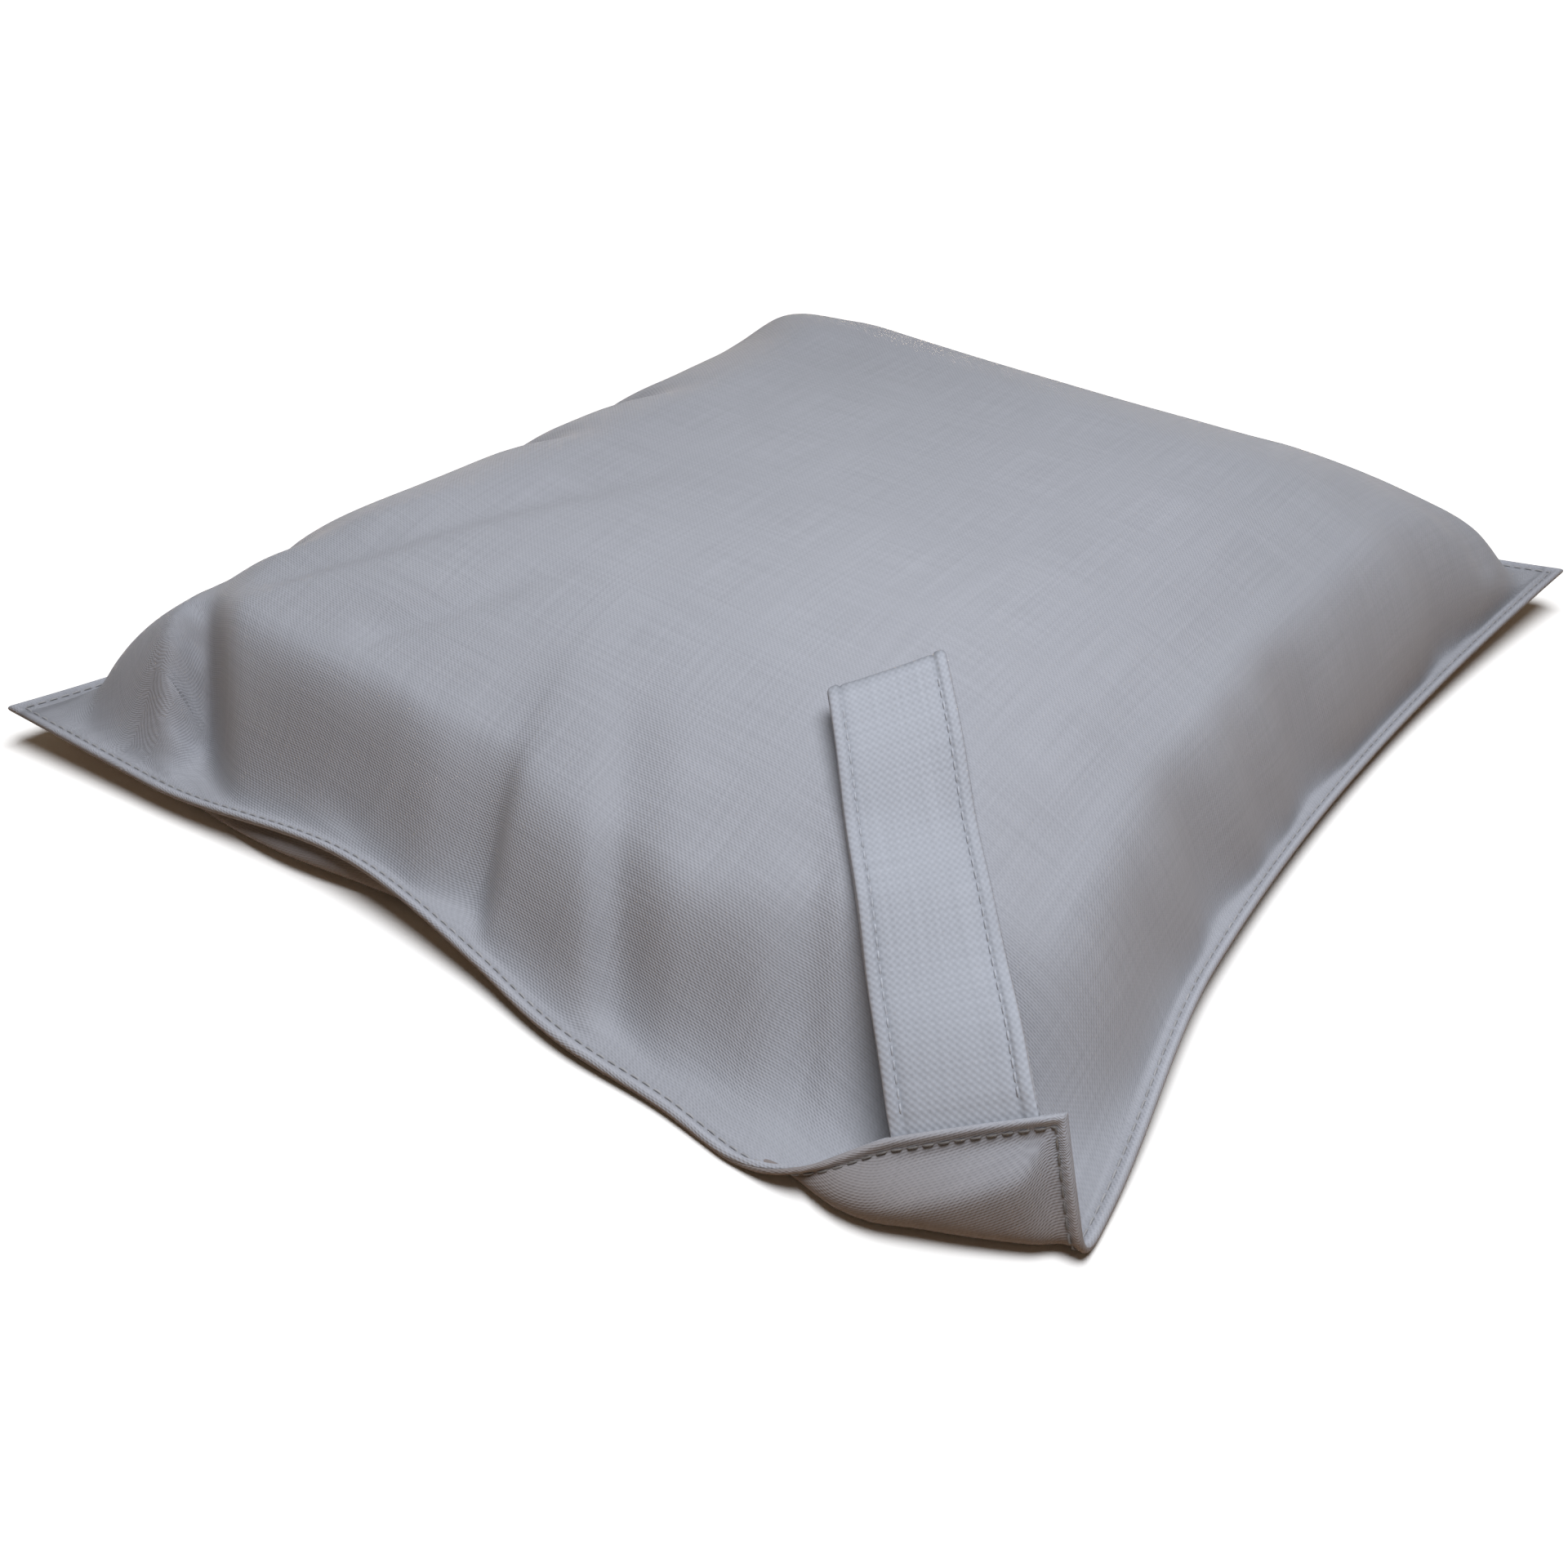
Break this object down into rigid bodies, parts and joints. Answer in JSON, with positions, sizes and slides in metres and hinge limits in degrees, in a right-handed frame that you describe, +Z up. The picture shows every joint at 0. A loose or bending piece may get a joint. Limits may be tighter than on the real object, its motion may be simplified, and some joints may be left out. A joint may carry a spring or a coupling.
{
  "type": "filled cloth sack",
  "caption": "Flat filled cloth sack, sewn shut all round with a topstitched lip, one corner turned up and a doubled pull loop caught in its edge seam.",
  "frame": {"origin": "middle of the sack's plan box, on the surface it lies on", "axes": "+Z up, +X along the front edge towards the turned-up corner, +Y from the front edge to the back edge"},
  "size_m": [0.4, 0.423, 0.0833],
  "materials": {
    "panel_cloth": "satin weave, taupe grey",
    "loop_cloth": "diagonal weave, pale grey",
    "thread": "twisted sewing thread",
    "filling": "loose fibre"
  },
  "bodies": {
    "sack": {"upper_panel": "panel_cloth", "lower_panel": "panel_cloth", "filling": "filling", "loop_tail": "loop_cloth", "edge_needle_thread": "thread", "edge_bobbin_thread": "thread"},
    "loop": {"pull_loop": "loop_cloth", "loop_left_thread": "thread", "loop_right_thread": "thread"}
  },
  "joints": [
    {"name": "loop_swing", "type": "hinge", "parent": "sack", "child": "loop", "pos_m": [0.15946, -0.18412, 0.02269], "axis": [0.7823, 0.506, 0.3632], "range_deg": [0, 95]}
  ]
}
